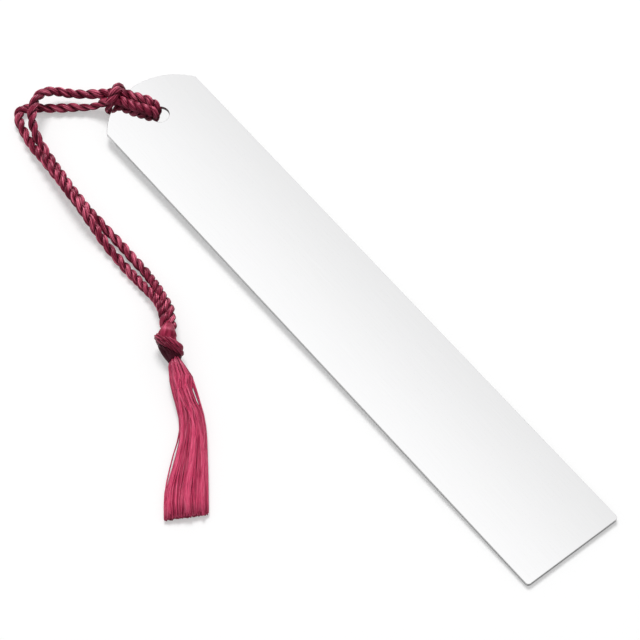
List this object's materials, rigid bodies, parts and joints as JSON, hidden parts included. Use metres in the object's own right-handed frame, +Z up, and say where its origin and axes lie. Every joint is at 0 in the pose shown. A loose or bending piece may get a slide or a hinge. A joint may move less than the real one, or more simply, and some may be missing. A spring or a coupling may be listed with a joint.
{
  "type": "bookmark",
  "caption": "Flat polished metal bookmark with one arched end, a round hole there and a twisted cord hitched through it that ends in a knotted floss tassel.",
  "frame": {"origin": "on the table, under the middle of the plate", "axes": "+Y along the plate towards its arched, holed end; +X across the plate; +Z up"},
  "size_m": [0.0753, 0.1654, 0.0066],
  "materials": {
    "plate_metal": "mirror polished, with slightly broken edges",
    "cord": "satin two-ply twisted cord, burgundy",
    "floss": "glossy untwisted floss, crimson"
  },
  "bodies": {
    "plate": {"plate": "plate_metal"},
    "hitch": {"cord_hitch": "cord"},
    "legs": {"cord_bend_a": "cord", "cord_bend_b": "cord", "cord_leg_a": "cord", "cord_leg_b": "cord"},
    "knot": {"cord_end_a": "cord", "cord_end_b": "cord", "tassel_knot": "floss"},
    "skirt": {"tassel_neck": "floss", "tassel_skirt": "floss"}
  },
  "joints": [
    {"name": "hitch_turn", "type": "hinge", "parent": "plate", "child": "hitch", "pos_m": [0, 0.06628, 0.00232], "axis": [0, -0.0128, 0.9999], "range_deg": [-58, 0]},
    {"name": "cord_lift", "type": "hinge", "parent": "hitch", "child": "legs", "pos_m": [-0.0083, 0.0788, 0.0036], "axis": [0, 1, 0], "range_deg": [0, 120], "deforming": ["cord_bend_a", "cord_bend_b"]},
    {"name": "tassel_swing", "type": "hinge", "parent": "legs", "child": "knot", "pos_m": [-0.03216, 0.02213, 0.00333], "axis": [0, 0, 1], "range_deg": [-60, 40], "deforming": ["cord_end_a", "cord_end_b"]},
    {"name": "skirt_lift", "type": "hinge", "parent": "knot", "child": "skirt", "pos_m": [-0.03768, 0.01258, 0.00333], "axis": [-0.8271, 0.5621, 0], "range_deg": [0, 50], "deforming": ["tassel_neck"]}
  ]
}
